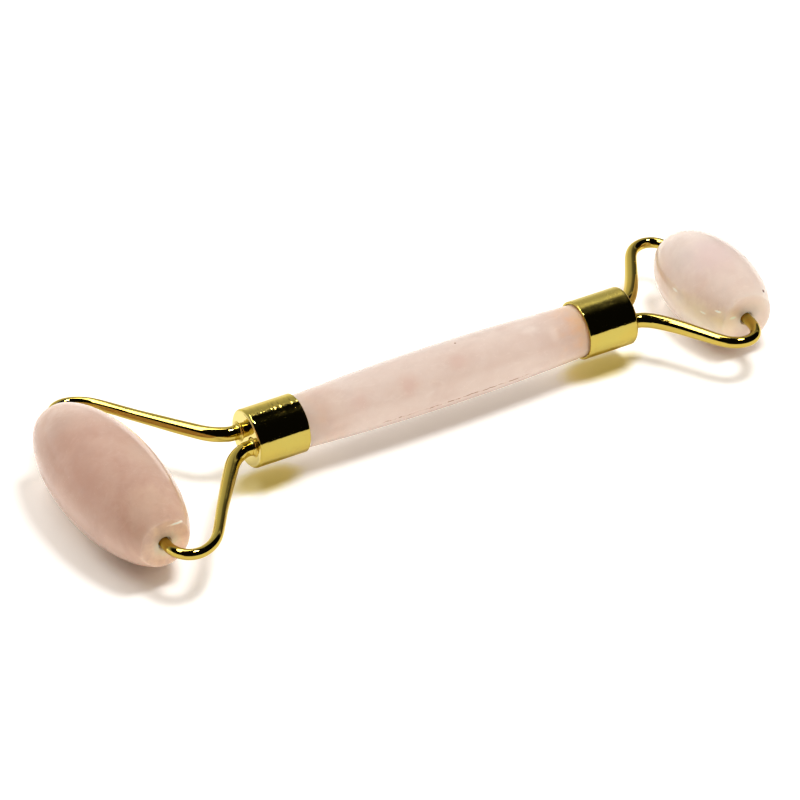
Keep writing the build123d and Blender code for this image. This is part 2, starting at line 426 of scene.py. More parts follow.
def spun_wall(point, roughness, colour):
    """Large cup: the closed end is given a lighter colour."""
    closed_end = abs(point.xyz()[0]).smooth(span=(39.72, 39.86))
    return roughness, closed_end.blend(colour, (0.66, 0.575, 0.235))


def dull_dark_top(point, roughness, colour):
    """Small cup: the plate is rougher and darker round the top."""
    _, y, z = point.xyz()
    around = z.angle(y * -1.0)      # radians from the front, over the top
    roughness += abs(around - 1.78).smooth(span=(0.20, 0.80), out=(0.20, 0.0))
    dull = abs(around - 1.70).smooth(span=(0.10, 0.55), out=(0.45, 0.0))
    return roughness, dull.blend(colour, (0.24, 0.19, 0.05))


def nylon():
    material, tree, point = start_material("nylon_sleeve")
    mottle = point.noise(scale=1.4, detail=4.0, rough=0.6)
    grain = point.noise(scale=7.0, detail=3.0, rough=0.6)
    colour = mottle.linear(span=(0.35, 0.65)).blend((0.72, 0.68, 0.60), (0.62, 0.57, 0.48))
    set_surface(tree, principled(tree, {
        "Base Color": colour,
        "Roughness": grain.linear(span=(0.3, 0.7), out=(0.42, 0.60)),
        "IOR": 1.53,
        "Normal": (grain + mottle * 0.5).bump(distance=0.012 * MM, strength=0.8),
        "Subsurface Weight": 0.5,
        "Subsurface Radius": (1.0, 0.9, 0.7),
        "Subsurface Scale": 0.4 * MM,
    }))
    return material


def adhesive():
    material, tree, point = start_material("amber_adhesive")
    mottle = point.noise(scale=1.1, detail=4.0, rough=0.6, distort=0.6)
    flecks = point.noise(scale=3.2, detail=2.0, rough=0.5).smooth(span=(0.60, 0.68))
    colour = mottle.linear(span=(0.35, 0.65)).blend((0.62, 0.40, 0.17), (0.46, 0.27, 0.10))
    colour = (flecks * 0.5).blend(colour, (0.80, 0.66, 0.42))
    set_surface(tree, principled(tree, {
        "Base Color": colour,
        "Roughness": mottle.linear(span=(0.3, 0.7), out=(0.12, 0.26)),
        "IOR": 1.55,
        "Normal": mottle.bump(distance=0.03 * MM, strength=0.8),
        "Subsurface Weight": 0.8,
        "Subsurface Radius": (1.0, 0.6, 0.25),
        "Subsurface Scale": 0.6 * MM,
    }))
    return material


HANDLE_STONE = stone(
    "rose_quartz_handle", pale=(0.555, 0.450, 0.402), rose=(0.510, 0.395, 0.350),
    milk=(0.63, 0.54, 0.49), seed=1.0, grain=1.0, rough=0.12, streak=(0.75, 1.0, 1.0),
    depth=near_cups, overlay=low_brown_line,
    clouds_and_painted_light=[
        ((-26.6, -4.2, 2.4), (1.6, 3.5, 3.5), (0.60, 0.45, 0.37), 0.35),
        ((-18.8, -4.6, 3.0), (2.8, 3.0, 3.0), (0.515, 0.370, 0.325), 0.55),
        ((-8.3, -4.5, 3.65), (3.2, 3.0, 3.0), (0.50, 0.345, 0.30), 0.60),
        ((2.6, -3.7, 4.5), (2.8, 2.6, 2.6), (0.51, 0.355, 0.31), 0.45),
        ((15.0, 1.5, 5.0), (6.0, 3.0, 3.0), (0.53, 0.38, 0.33), 0.40),
        ((18.5, -2.0, 5.1), (2.4, 1.4, 1.4), (0.70, 0.60, 0.54), 0.35),
        ((22.6, -3.6, 3.8), (1.4, 2.4, 2.4), (0.68, 0.56, 0.50), 0.35),
        # painted light: warm glow from the plated small cup on the stone beside it
        ((32.0, -3.0, 3.0), (9.5, 10.0, 10.0), (0.600, 0.375, 0.225), 0.90),
        # painted shade: the whole top of the handle darker, evening out the light from above
        ((0.0, 1.6, 7.4), (38.0, 5.0, 3.8), (0.440, 0.350, 0.312), 0.60),
        # painted light: warm glow from the plated large cup on the stone beside it
        ((-32.0, -1.0, 1.0), (9.5, 10.0, 10.0), (0.56, 0.425, 0.345), 0.70),
    ],
    specks=[((3.97, 0.39, 5.81), 0.20, (0.16, 0.08, 0.05))],
)
LARGE_STONE = stone(
    "rose_quartz_large_roller", pale=(0.525, 0.358, 0.286), rose=(0.470, 0.306, 0.242),
    milk=(0.60, 0.435, 0.355), seed=2.0, grain=0.8, rough=0.11, depth=near_bores(LARGE),
    clouds_and_painted_light=[
        ((-74.7, -4.4, 6.2), (4.5, 8.5, 6.0), (0.445, 0.270, 0.205), 0.45),
        ((-76.0, 10.0, 2.5), (4.0, 11.0, 6.0), (0.435, 0.290, 0.225), 0.55),
        ((-73.5, 7.0, 7.0), (3.0, 6.0, 6.0), (0.44, 0.275, 0.205), 0.40),
        ((-64.5, -6.0, 8.5), (4.5, 7.0, 6.0), (0.54, 0.385, 0.305), 0.55),
        ((-69.0, 10.0, 7.5), (3.5, 6.0, 6.0), (0.54, 0.38, 0.305), 0.45),
        ((-68.0, -15.5, 5.0), (5.5, 5.0, 6.0), (0.58, 0.42, 0.33), 0.60),
        # painted light: both flat ends lighter, as they face sideways and take less light
        ((-67.5, -21.5, 0.0), (6.0, 3.2, 6.0), (0.79, 0.60, 0.45), 0.95),
        ((-67.5, 21.5, 0.0), (6.0, 3.2, 6.0), (0.79, 0.60, 0.45), 0.95),
        # painted highlight: a white glint along the upper worn edge of the near end
        ((-65.2, -20.7, 3.55), (2.6, 0.35, 0.42), (0.95, 0.86, 0.80), 0.85),
    ],
)
SMALL_STONE = stone(
    "rose_quartz_small_roller", pale=(0.635, 0.505, 0.450), rose=(0.580, 0.445, 0.395),
    milk=(0.72, 0.60, 0.54), seed=3.0, grain=0.9, rough=0.09, depth=near_bores(SMALL),
    clouds_and_painted_light=[
        ((58.0, -1.0, 8.0), (6.5, 7.5, 5.0), (0.60, 0.445, 0.425), 0.60),
        # painted light: the left side and the left of the near end lighter, standing in for
        # light from the floor
        ((51.5, -6.0, 0.0), (5.0, 11.0, 5.0), (0.76, 0.640, 0.530), 0.80),
        ((55.5, -12.0, 0.0), (4.5, 4.0, 4.5), (0.74, 0.600, 0.460), 0.70),
        # painted light: both flat ends lighter, as they face sideways and take less light
        ((60.5, -13.0, 0.5), (5.5, 3.2, 5.8), (0.685, 0.570, 0.490), 0.92),
        ((59.0, 13.0, 0.0), (6.0, 3.2, 6.0), (0.685, 0.570, 0.490), 0.92),
        # painted highlights: four small white glints on the left and front
        ((50.8, -0.4, 2.15), (0.9, 1.3, 0.30), (0.98, 0.90, 0.82), 0.95),
        ((52.0, -8.4, 1.35), (0.7, 1.2, 0.28), (1.0, 0.92, 0.80), 0.90),
        ((53.6, -10.9, 2.6), (0.8, 0.9, 0.26), (1.0, 0.90, 0.76), 0.85),
        ((56.0, -12.3, 1.2), (0.9, 0.6, 0.35), (1.0, 0.86, 0.64), 0.80),
    ],
    specks=[((63.29, -11.24, 4.07), 0.34, (0.09, 0.02, 0.015)),
            ((60.63, -12.4, -0.62), 0.22, (0.16, 0.07, 0.04))],
)
LARGE_CUP_GOLD = gold("gold_plate_cup", wave=0.9, stretch=(0.7, 1.0, 1.0), wall=spun_wall)
SMALL_CUP_GOLD = gold("gold_plate_cup_small", wave=0.9, stretch=(0.7, 1.0, 1.0), wall=dull_dark_top)
ARM_GOLD = gold("gold_plate_rod", wave=0.22, base=(0.465, 0.360, 0.074), rough=0.034)
BRAZE_GOLD = gold("gold_plate_braze", wave=1.6, base=(0.47, 0.37, 0.083), rough=0.12)
NYLON = nylon()
ADHESIVE = adhesive()


# ---------------------------------------------------------------------------
# Mesh helpers. A profile is a list of (along the axis, radius).
# ---------------------------------------------------------------------------
def circle(segments):
    return np.linspace(0, 2 * math.pi, segments, endpoint=False)


def shade(mesh, sharp):
    mesh.shade_smooth()
    mesh.set_sharp_from_angle(angle=math.radians(sharp))


def rings_to_mesh(name, rings, material, closed=False, sharp=32.0, first_pole=None,
                  last_pole=None):
    """Joins each ring of points to the next; poles close the ends, closed joins them."""
    count = len(rings[0])
    verts = [tuple(point) for ring in rings for point in ring]
    faces = []
    for i in range(len(rings) if closed else len(rings) - 1):
        here, there = i * count, ((i + 1) % len(rings)) * count
        for j in range(count):
            k = (j + 1) % count
            faces.append((here + j, here + k, there + k, there + j))
    if first_pole is not None:
        pole = len(verts)
        verts.append(tuple(first_pole))
        faces += [(pole, (j + 1) % count, j) for j in range(count)]
    if last_pole is not None:
        pole = len(verts)
        verts.append(tuple(last_pole))
        start = (len(rings) - 1) * count
        faces += [(pole, start + j, start + (j + 1) % count) for j in range(count)]

    mesh = bpy.data.meshes.new(name)
    mesh.from_pydata([tuple(float(c) * MM for c in v) for v in verts], [], faces)
    mesh.validate()
    work = bmesh.new()
    work.from_mesh(mesh)
    bmesh.ops.recalc_face_normals(work, faces=work.faces)
    work.to_mesh(mesh)
    work.free()
    shade(mesh, sharp)
    mesh.materials.append(material)
    piece = bpy.data.objects.new(name, mesh)
    bpy.context.scene.collection.objects.link(piece)
    return piece


def lathe(name, profile, axis, centre, segments, material, shape, closed=False, sharp=32.0):
    """Turns a profile about X or Y through centre; shape(point, along, radius) -> radius."""
    def place(along, across, up):
        return (along, across, up) if axis == "X" else (across, along, up)

    centre = np.array(centre)
    rings = []
    for along, radius in profile:
        if radius <= 1e-9:
            continue
        ring = np.zeros((segments, 3))
        for j, turn in enumerate(circle(segments)):
            c, s = math.cos(turn), math.sin(turn)
            shaped = shape(Vector(place(along, radius * c, radius * s)), along, radius)
            ring[j] = place(along, shaped * c, shaped * s)
        rings.append(ring + centre)
    first_pole, last_pole = (
        centre + np.array(place(along, 0.0, 0.0)) if radius <= 1e-9 else None
        for along, radius in (profile[0], profile[-1]))
    return rings_to_mesh(name, rings, material, closed, sharp, first_pole, last_pole)


def line_to(profile, end, steps):
    """Continues the profile straight to end."""
    start = profile[-1]
    for i in range(1, steps + 1):
        profile.append((start[0] + (end[0] - start[0]) * i / steps,
                        start[1] + (end[1] - start[1]) * i / steps))


def arc_through(start, middle, end, steps):
    """Points of the circular arc through three points, start left out."""
    (x0, y0), (x1, y1), (x2, y2) = start, middle, end
    sq0, sq1, sq2 = x0**2 + y0**2, x1**2 + y1**2, x2**2 + y2**2
    scale = 2 * (x0 * (y1 - y2) + x1 * (y2 - y0) + x2 * (y0 - y1))
    centre_x = (sq0 * (y1 - y2) + sq1 * (y2 - y0) + sq2 * (y0 - y1)) / scale
    centre_y = (sq0 * (x2 - x1) + sq1 * (x0 - x2) + sq2 * (x1 - x0)) / scale
    radius = math.hypot(x0 - centre_x, y0 - centre_y)
    first, mid, last = (math.atan2(y - centre_y, x - centre_x) for x, y in (start, middle, end))
    # go round the way that passes the middle point
    if (last - first) * (mid - first) < 0 or abs(mid - first) > abs(last - first):
        last += 2 * math.pi if last < first else -2 * math.pi
    turns = [first + (last - first) * i / steps for i in range(1, steps + 1)]
    return [(centre_x + radius * math.cos(a), centre_y + radius * math.sin(a)) for a in turns]


def fractal(point, scale, octaves=2):
    """Fractal noise, about -1 to 1."""
    value, weight, total = 0.0, 1.0, 0.0
    spot = point * scale
    for _ in range(octaves):
        value += weight * noise.noise(spot)
        total += weight
        weight *= 0.5
        spot = spot * 2.03 + Vector((11.3, 4.7, 7.9))
    return value / total


def register(piece, body, cad_part):
    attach(piece, body)
    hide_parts(cad_part)


# ---------------------------------------------------------------------------
# Handle stone: barrel with a tapered spigot at each end
# ---------------------------------------------------------------------------
def handle_shape(point, along, radius):
    """Slight hand-ground unevenness of the bare stone."""
    if abs(along) > HANDLE_HALF or radius < 4.7:
        return radius
    fade = min(1.0, (HANDLE_HALF - abs(along)) / 2.5)
    hump = fractal(point + Vector((3, 8, 1)), scale=0.11)
    fine = fractal(point + Vector((40, 2, 9)), scale=0.45)
    return radius - fade * (0.045 * (hump * 0.5 + 0.5) + 0.010 * (fine * 0.5 + 0.5))


def build_handle():
    mouth = (HANDLE_HALF, HANDLE_R_MOUTH)
    profile = [(-SPIGOT_END, 0.0)]
    line_to(profile, (-SPIGOT_END, SPIGOT_R_END - SPIGOT_CHAMFER), 6)
    line_to(profile, (-SPIGOT_END + SPIGOT_CHAMFER, SPIGOT_R_END), 2)
    line_to(profile, (-HANDLE_HALF, HANDLE_R_MOUTH), 10)
    profile += arc_through((-HANDLE_HALF, HANDLE_R_MOUTH), (0, HANDLE_R_MID), mouth, 170)
    line_to(profile, (SPIGOT_END - SPIGOT_CHAMFER, SPIGOT_R_END), 10)
    line_to(profile, (SPIGOT_END, SPIGOT_R_END - SPIGOT_CHAMFER), 2)
    line_to(profile, (SPIGOT_END, 0.0), 6)
    handle = lathe("rose_handle_stone", profile, "X", (0, 0, 0), 144, HANDLE_STONE,
                   handle_shape)
    register(handle, "handle", "handle_stone")


# ---------------------------------------------------------------------------
# Roller stones: oval of revolution, flat ends with a worn edge, drilled
# ---------------------------------------------------------------------------
def build_roller(roller, material, seed):
    half, flat = roller.half, roller.flat
    fullness = 1 - (flat / roller.radius) ** OVAL_POWER

    def oval(y):
        t = y / half
        return roller.radius * (1 - fullness * t * t) ** (1 / OVAL_POWER)

    # half profile from the bore's drill point out to the middle of the stone
    profile = [(-(half - BORE_DEPTH - 0.6), 0.0)]
    line_to(profile, (-(half - BORE_DEPTH), BORE_R), 3)
    line_to(profile, (-(half - 0.12), BORE_R), 14)
    line_to(profile, (-half, BORE_R + 0.12), 2)
    line_to(profile, (-half, flat - WORN_EDGE), 22)
    # worn edge: quadratic blend from the flat to the oval
    on_flat, corner = (-half, flat - WORN_EDGE), (-half, flat)
    on_oval = (-(half - WORN_EDGE), oval(half - WORN_EDGE))
    for i in range(1, 9):
        u = i / 8
        profile.append(tuple((1 - u) ** 2 * a + 2 * u * (1 - u) * b + u * u * c
                             for a, b, c in zip(on_flat, corner, on_oval)))
    steps = 110
    for i in range(1, steps + 1):
        y = (half - WORN_EDGE) * math.cos(math.pi / 2 * i / steps)
        profile.append((-y, oval(y)))
    profile += [(-along, radius) for along, radius in reversed(profile[:-1])]
    offset = Vector((seed * 13.0, seed * 3.0, seed * 7.0))

    def shape(point, along, radius):
        """Gentle humps on the body, small chips at the worn edge; the bore stays true."""
        if radius < BORE_R + 0.4 or (abs(along) < half - 0.5 and radius < flat * 0.8):
            return radius
        at_edge = math.exp(-(((abs(along) - half + 0.1) / 0.55) ** 2))
        at_edge *= 1.0 if radius > flat - 0.6 else 0.0
        hump = fractal(point + offset, scale=0.085) * 0.5 + 0.5
        fine = fractal(point + offset * 2, scale=0.42) * 0.5 + 0.5
        chip = max(0.0, fractal(point + offset * 3, scale=1.1, octaves=3) - 0.02)
        body = 1.0 - at_edge
        return (radius - body * (0.060 * hump + 0.012 * fine)
                - at_edge * (0.03 * hump + 0.20 * chip))

    name = roller.name
    piece = lathe(f"rose_{name}_roller", profile, "Y", (roller.x, 0, 0), 192, material,
                  shape, sharp=40.0)
    register(piece, f"{name}_roller", f"{name}_roller_stone")


# ---------------------------------------------------------------------------
# Cups
# ---------------------------------------------------------------------------
def chatter(point, along):
    """Row of small dents along the top of the large cup, up to about 0.06 mm deep."""
    off_row = (math.atan2(point.z, -point.y) - 1.50) * CUP_R     # arc length from the row
    if abs(off_row) > 2.4:
        return 0.0
    wander = noise.noise(Vector((along * 0.9, 4.1, 0.0)))
    step = math.sin(5.6 * along + 3.5 * wander)
    jag = 0.9 * noise.noise(Vector((along * 2.4, 0.7, 1.3)))
    swell = noise.noise(Vector((along * 0.55, 8.3, 2.0)))
    strength = min(1.0, max(0.35, 0.75 + 0.9 * swell))
    return strength * (step + jag) * off_row * 0.10 * math.exp(-((off_row / 0.85) ** 2))


def cup_profile(side, wall_steps):
    shoulder_x, shoulder_r = CUP_OUT - CUP_EDGE, CUP_R - CUP_EDGE
    profile = [(CUP_OUT, 0.0)]
    line_to(profile, (CUP_OUT, CUP_R - CUP_EDGE - 0.03), 8)
    line_to(profile, (CUP_OUT, shoulder_r), 1)
    for i in range(1, 15):
        turn = math.radians(90 * i / 14)
        profile.append((shoulder_x + CUP_EDGE * math.cos(turn),
                        shoulder_r + CUP_EDGE * math.sin(turn)))
    line_to(profile, (HANDLE_HALF + 0.16, CUP_R), wall_steps)
    # mouth: a small rolled lip instead of a knife edge
    profile += [(HANDLE_HALF + 0.10, CUP_R - 0.010), (HANDLE_HALF + 0.045, CUP_R - 0.045),
                (HANDLE_HALF + 0.012, CUP_R - 0.095), (HANDLE_HALF, CUP_R - 0.15)]
    line_to(profile, (HANDLE_HALF, CUP_BORE_R + 0.10), 2)
    line_to(profile, (HANDLE_HALF + 0.10, CUP_BORE_R), 2)
    line_to(profile, (CUP_IN, CUP_BORE_R), 10)
    line_to(profile, (CUP_IN, 0.0), 5)
    return [(side * along, radius) for along, radius in profile]


def drill_tail_holes(cup, side, material):
    """Cuts the two holes that the arm tails pass through and applies the cuts."""
    turn = circle(64)
    ends = side * (CUP_IN - 1), side * (CUP_OUT + 1)
    cutters = []
    for s in (1, -1):
        rings = [np.stack([np.full(64, x), s * TAIL_Y + TAIL_R * np.cos(turn),
                           TAIL_R * np.sin(turn)], 1) for x in ends]
        cutters.append(rings_to_mesh("cut", rings, material,
                                     first_pole=(ends[0], s * TAIL_Y, 0),
                                     last_pole=(ends[1], s * TAIL_Y, 0)))
    for cutter in cutters:
        cut = cup.modifiers.new("hole", "BOOLEAN")
        cut.operation = "DIFFERENCE"
        cut.solver = "EXACT"
        cut.object = cutter
    bpy.context.view_layer.update()
    depsgraph = bpy.context.evaluated_depsgraph_get()
    mesh = bpy.data.meshes.new_from_object(
        cup.evaluated_get(depsgraph), preserve_all_data_layers=True, depsgraph=depsgraph)
    cup.modifiers.clear()
    cup.data = mesh
    for cutter in cutters:
        bpy.data.objects.remove(cutter)
    shade(mesh, 40)


def build_cup(roller, material, dents):
    side = roller.side

    def shape(point, along, radius):
        """Drawn wall: slow flats round the cup, a shade out of true, and any dents."""
        if radius < CUP_R - 0.03 or abs(along) > CUP_OUT - CUP_EDGE:
            return radius
        fade = min(1.0, (CUP_OUT - CUP_EDGE - abs(along)) / 0.8,
                   (abs(along) - HANDLE_HALF) / 0.5)
        fade = max(0.0, fade)
        flats = fractal(point + Vector((side * 9, 0, 0)), scale=0.32)
        radius -= fade * 0.014 * (flats * 0.5 + 0.5)
        return radius + fade * chatter(point, along) if dents else radius

    # the dents need a finer mesh
    wall_steps, segments = (96, 320) if dents else (44, 160)
    cup = lathe("gold_cup_" + roller.name, cup_profile(side, wall_steps), "X", (0, 0, 0),
                segments, material, shape, sharp=40.0)
    drill_tail_holes(cup, side, material)
    register(cup, "handle", roller.name + "_ferrule")


# ---------------------------------------------------------------------------
# Arms: formed, tapered rods, brazed into the cups
# ---------------------------------------------------------------------------
def end_slope(knots, points):
    """Slope at the first of four points of the cubic through them."""
    slope = np.zeros(2)
    for i in range(4):
        weight = 0.0
        for j in range(4):
            if j == i:
                continue
            term = 1.0
            for k in range(4):
                if k not in (i, j):
                    term *= (knots[0] - knots[k]) / (knots[i] - knots[k])
            weight += term / (knots[i] - knots[j])
        slope += weight * points[i]
    return slope


def spline(points, samples):
    """Cubic spline with chord-length knots: places, slopes and fractions of its length."""
    points = np.array(points, float)
    chords = np.linalg.norm(np.diff(points, axis=0), axis=1)
    knots = np.concatenate([[0], np.cumsum(chords)])
    count = len(points)
    system, target = np.zeros((count, count)), np.zeros((count, 2))
    system[0, 0] = system[-1, -1] = 1
    target[0] = end_slope(knots[:4], points[:4])
    target[-1] = end_slope(knots[::-1][:4], points[::-1][:4])
    for i in range(1, count - 1):
        before, after = knots[i] - knots[i - 1], knots[i + 1] - knots[i]
        system[i, i - 1] = 1 / before
        system[i, i] = 2 / before + 2 / after
        system[i, i + 1] = 1 / after
        target[i] = 3 * ((points[i] - points[i - 1]) / before**2
                         + (points[i + 1] - points[i]) / after**2)
    slopes = np.linalg.solve(system, target)

    reach = np.linspace(0, knots[-1], samples)
    i = np.clip(np.searchsorted(knots, reach, side="right") - 1, 0, count - 2)
    h = (knots[i + 1] - knots[i])[:, None]
    t = ((reach - knots[i])[:, None]) / h
    places = ((2 * t**3 - 3 * t**2 + 1) * points[i] + (t**3 - 2 * t**2 + t) * h * slopes[i]
              + (-2 * t**3 + 3 * t**2) * points[i + 1] + (t**3 - t**2) * h * slopes[i + 1])
    tangents = ((6 * t**2 - 6 * t) * points[i] + (3 * t**2 - 4 * t + 1) * h * slopes[i]
                + (-6 * t**2 + 6 * t) * points[i + 1]
                + (3 * t**2 - 2 * t) * h * slopes[i + 1]) / h
    return places, tangents, reach / knots[-1]


def tapered_radii(taper, fractions):
    """Arm radii along the bend, the taper's corners smoothed by a 31-sample window."""
    radii = np.interp(fractions, [f for f, _ in taper], [r for _, r in taper])
    window = np.hanning(31)
    window /= window.sum()
    padded = np.concatenate([np.full(15, radii[0]), radii, np.full(15, radii[-1])])
    return np.convolve(padded, window, "valid")


def arm_stations(roller):
    """(x, y), direction and radius at each ring of an arm, from tail to tip."""
    way = roller.side
    outward, inward = (way, 0), (0, -1)
    root_x = roller.bend[0][0]
    places, tangents, fractions = spline(roller.bend, 190)
    tangents[0], tangents[-1] = outward, inward
    radii = tapered_radii(roller.taper, fractions)

    # tail inside the cup, with a small lead-in chamfer
    tail_x = way * (CUP_IN - TAIL_IN)
    lead = way * TAIL_CHAMFER
    stations = [((tail_x, TAIL_Y), outward, TAIL_R - TAIL_CHAMFER),
                ((tail_x + lead, TAIL_Y), outward, TAIL_R)]
    for i in range(1, 12):
        x = tail_x + lead + (root_x - tail_x - lead) * i / 12
        stations.append(((x, TAIL_Y), outward, TAIL_R))
    for place, tangent, radius in zip(places, tangents, radii):
        stations.append((tuple(place), tuple(tangent / np.linalg.norm(tangent)), float(radius)))
    # straight end inside the roller's bore, with a chamfered tip
    tip_y = roller.half - TIP_DEPTH
    x, start_y = roller.bend[-1]
    for i in range(1, 20):
        y = start_y + (tip_y + TIP_CHAMFER - start_y) * i / 19
        stations.append(((x, y), inward, TIP_R))
    stations.append(((x, tip_y), inward, TIP_R - TIP_CHAMFER))
    return stations


def build_arm(roller, hand, side):
    turn = circle(56)
    stations = arm_stations(roller)
    rings = []
    for (x, y), (dx, dy), radius in stations:
        across = radius * np.cos(turn)
        rings.append(np.stack([x + across * -dy, side * (y + across * dx),
                               radius * np.sin(turn)], 1))
    first, last = ((x, side * y, 0) for x, y in (stations[0][0], stations[-1][0]))
    arm = rings_to_mesh(f"gold_{roller.name}_arm_{hand}", rings, ARM_GOLD, sharp=30.0,
                        first_pole=first, last_pole=last)
    register(arm, "handle", f"{roller.name}_arm_{hand}")


def build_braze(roller, hand, side):
    """Hollow-faced braze fillet round the arm's root."""
    profile = [(ROOT, FILLET_R), (ROOT, TAIL_R), (CUP_OUT + 0.30, TAIL_R),
               (CUP_OUT, TAIL_R), (CUP_OUT, COLLAR_R - 0.2), (CUP_OUT, COLLAR_R)]
    start = (CUP_OUT + 0.05, COLLAR_R)
    middle = (CUP_OUT + 0.24, TAIL_R + 0.19)
    profile += [start] + arc_through(start, middle, (ROOT, FILLET_R), 14)[:-1]
    profile = [(roller.side * along, radius) for along, radius in profile]
    offset = Vector((len(roller.name) * 5, len(hand) * 9, 0))

    def ripple(point, along, radius):
        if radius <= TAIL_R + 0.01:
            return radius
        return radius + (radius - TAIL_R) * 0.22 * fractal(point + offset, scale=0.9)

    braze = lathe(f"gold_{roller.name}_braze_{hand}", profile, "X", (0, side * TAIL_Y, 0), 72,
                  BRAZE_GOLD, ripple, closed=True, sharp=50.0)
    register(braze, "handle", f"{roller.name}_arm_collar_{hand}")


def dress_cad_nodes():
    """The CAD's own sleeves and adhesive stay, with new materials."""
    for name, node in frame["nodes"].items():
        if node.hide_render:
            continue
        is_sleeve = "bush" in name
        material = NYLON if is_sleeve else ADHESIVE
        if not node.material_slots:
            node.data.materials.append(material)
        for slot in node.material_slots:
            slot.material = material


# ---------------------------------------------------------------------------
# Pale floor, tangent to both rollers
# ---------------------------------------------------------------------------
FLOOR_HALF = 4000.0
FLOOR_DROP = 9.0617         # square distance from the origin to the floor
FLOOR_SINE = 0.009012       # of its tilt along X, from the rollers' unequal radii
FLOOR_COSINE = 0.99996


def floor_material():
    material, tree, point = start_material("pale_card_floor")
    drift = point.noise(scale=0.012, detail=3.0)
    fibre = point.noise(scale=1.6, detail=4.0, rough=0.6)
    colour = drift.linear(span=(0.3, 0.7)).blend((0.865, 0.862, 0.858), (0.850, 0.848, 0.846))
    wobble = point.noise(scale=0.16, detail=3.0, rough=0.6)

    def pool(centre, radii, core=0.45):
        """Soft, uneven ellipse, full inside the core fraction of its radii."""
        offset = point.shifted((-centre[0], -centre[1], 0.0))
        reach = offset.scaled((1.0 / radii[0], 1.0 / radii[1], 0.0)).length()
        return (reach + (wobble - 0.5) * 0.5).smooth(span=(core, 1.1), out=FALLING)

    # yellow light thrown back by the plated cups, and the tinted shade under the rollers
    cups = pool((-36.5, -1.2), (8.0, 4.6)).larger(pool((33.5, -1.5), (10.0, 4.4)))
    rollers = pool((-68.5, -9.0), (7.0, 14.0), core=0.2).larger(
        pool((57.5, -5.0), (6.0, 9.5), core=0.2))
    glow = (rollers * 0.85).blend((1.0, 0.87, 0.71), (0.20, 0.12, 0.07))
    glow = cups.blend(glow, (0.60, 0.40, 0.05))
    colour = (cups * 0.9).blend(colour, (0.862, 0.80, 0.44))
    colour = (rollers * 0.5).blend(colour, (0.86, 0.76, 0.68))
    card = principled(tree, {
        "Base Color": colour,
        "Roughness": fibre.linear(span=(0.3, 0.7), out=(0.75, 0.9)),
        "Specular IOR Level": 0.15,
        "Normal": fibre.bump(distance=0.01 * MM, strength=0.3),
        "Emission Color": glow,
        "Emission Strength": 0.28,
    })
    # the camera sees through the floor from below
    backfacing = signal(tree, "ShaderNodeNewGeometry", output="Backfacing")
    below = backfacing * signal(tree, "ShaderNodeLightPath", output="Is Camera Ray")
    clear = signal(tree, "ShaderNodeBsdfTransparent")
    set_surface(tree, signal(tree, "ShaderNodeMixShader", {0: below, 1: card, 2: clear}))
    return material


def build_floor():
    material = floor_material()
    corners = []
    for x, y in ((-1, -1), (1, -1), (1, 1), (-1, 1)):
        x, y = x * FLOOR_HALF, y * FLOOR_HALF
        z = (-FLOOR_DROP + FLOOR_SINE * x) / FLOOR_COSINE
        corners.append((x * MM, y * MM, z * MM))
    mesh = bpy.data.meshes.new("floor")
    mesh.from_pydata(corners, [], [(0, 1, 2, 3)])
    mesh.materials.append(material)
    floor = bpy.data.objects.new("floor", mesh)
    bpy.context.scene.collection.objects.link(floor)


# ---------------------------------------------------------------------------
# Studio: a dark room with a grey wall behind; the camera itself sees plain white
# ---------------------------------------------------------------------------
def build_world():
    world = bpy.data.worlds.new("studio")
    bpy.context.scene.world = world
    world.use_nodes = True
    tree = world.node_tree
    tree.nodes.clear()
    direction = signal(tree, "ShaderNodeTexCoord", output="Generated")
    x, y, z = direction.xyz()
    # degrees: 0 behind at the horizon, 90 overhead, 180 in front
    elevation = z.angle(y) * (180 / math.pi)

    room = 0.004
    ragged = direction.scaled((9.0, 2.0, 2.0)).noise(scale=2.2, detail=3.0, rough=0.7)
    wall_top = 57.0 + (ragged - 0.5) * 7.0
    wall_on = (elevation.smooth(span=(-4.0, 0.0))
               * (elevation - wall_top).smooth(span=(-7.0, 8.0), out=FALLING))
    wall = elevation.linear(span=(0.0, 14.0), out=(1.76, 1.03))
    wall *= elevation.linear(span=(14.0, 40.0), out=(1.0, 0.66))
    wall *= 0.84 + direction.noise(scale=3.0, detail=3.0) * 0.32
    # darker towards +X
    side_dark = (x.linear(span=(0.415, 0.62), out=(1.0, 0.26))
                 * x.linear(span=(0.62, 0.88), out=(1.0, 0.38)))
    wall = wall * wall_on * side_dark
    # bell-shaped bright band just below the wall's top, on the +X side
    fringe = 2.718 ** (-1.0 * ((elevation - (wall_top - 3.0)) / 2.6) ** 2.0)
    fringe *= x.smooth(span=(0.30, 0.40))
    light = room + wall + fringe * 0.5
    studio = signal(tree, "ShaderNodeBackground",
                    {"Color": (1.0, 0.985, 0.96, 1.0), "Strength": light})
    white = signal(tree, "ShaderNodeBackground",
                   {"Color": (1.0, 1.0, 1.0, 1.0), "Strength": 1.0})
    camera_ray = signal(tree, "ShaderNodeLightPath", output="Is Camera Ray")
    mixed = signal(tree, "ShaderNodeMixShader", {0: camera_ray, 1: studio, 2: white})
    add_node(tree, "ShaderNodeOutputWorld", {"Surface": mixed})


# ---------------------------------------------------------------------------
# Lights, metres
# ---------------------------------------------------------------------------
FAR = 20.0      # distance of the lights that show as reflections


def turn_back(thing, direction):
    """Turns a lamp or camera so that its back faces the direction."""
    thing.rotation_mode = "QUATERNION"
    thing.rotation_quaternion = direction.to_track_quat("Z", "Y")


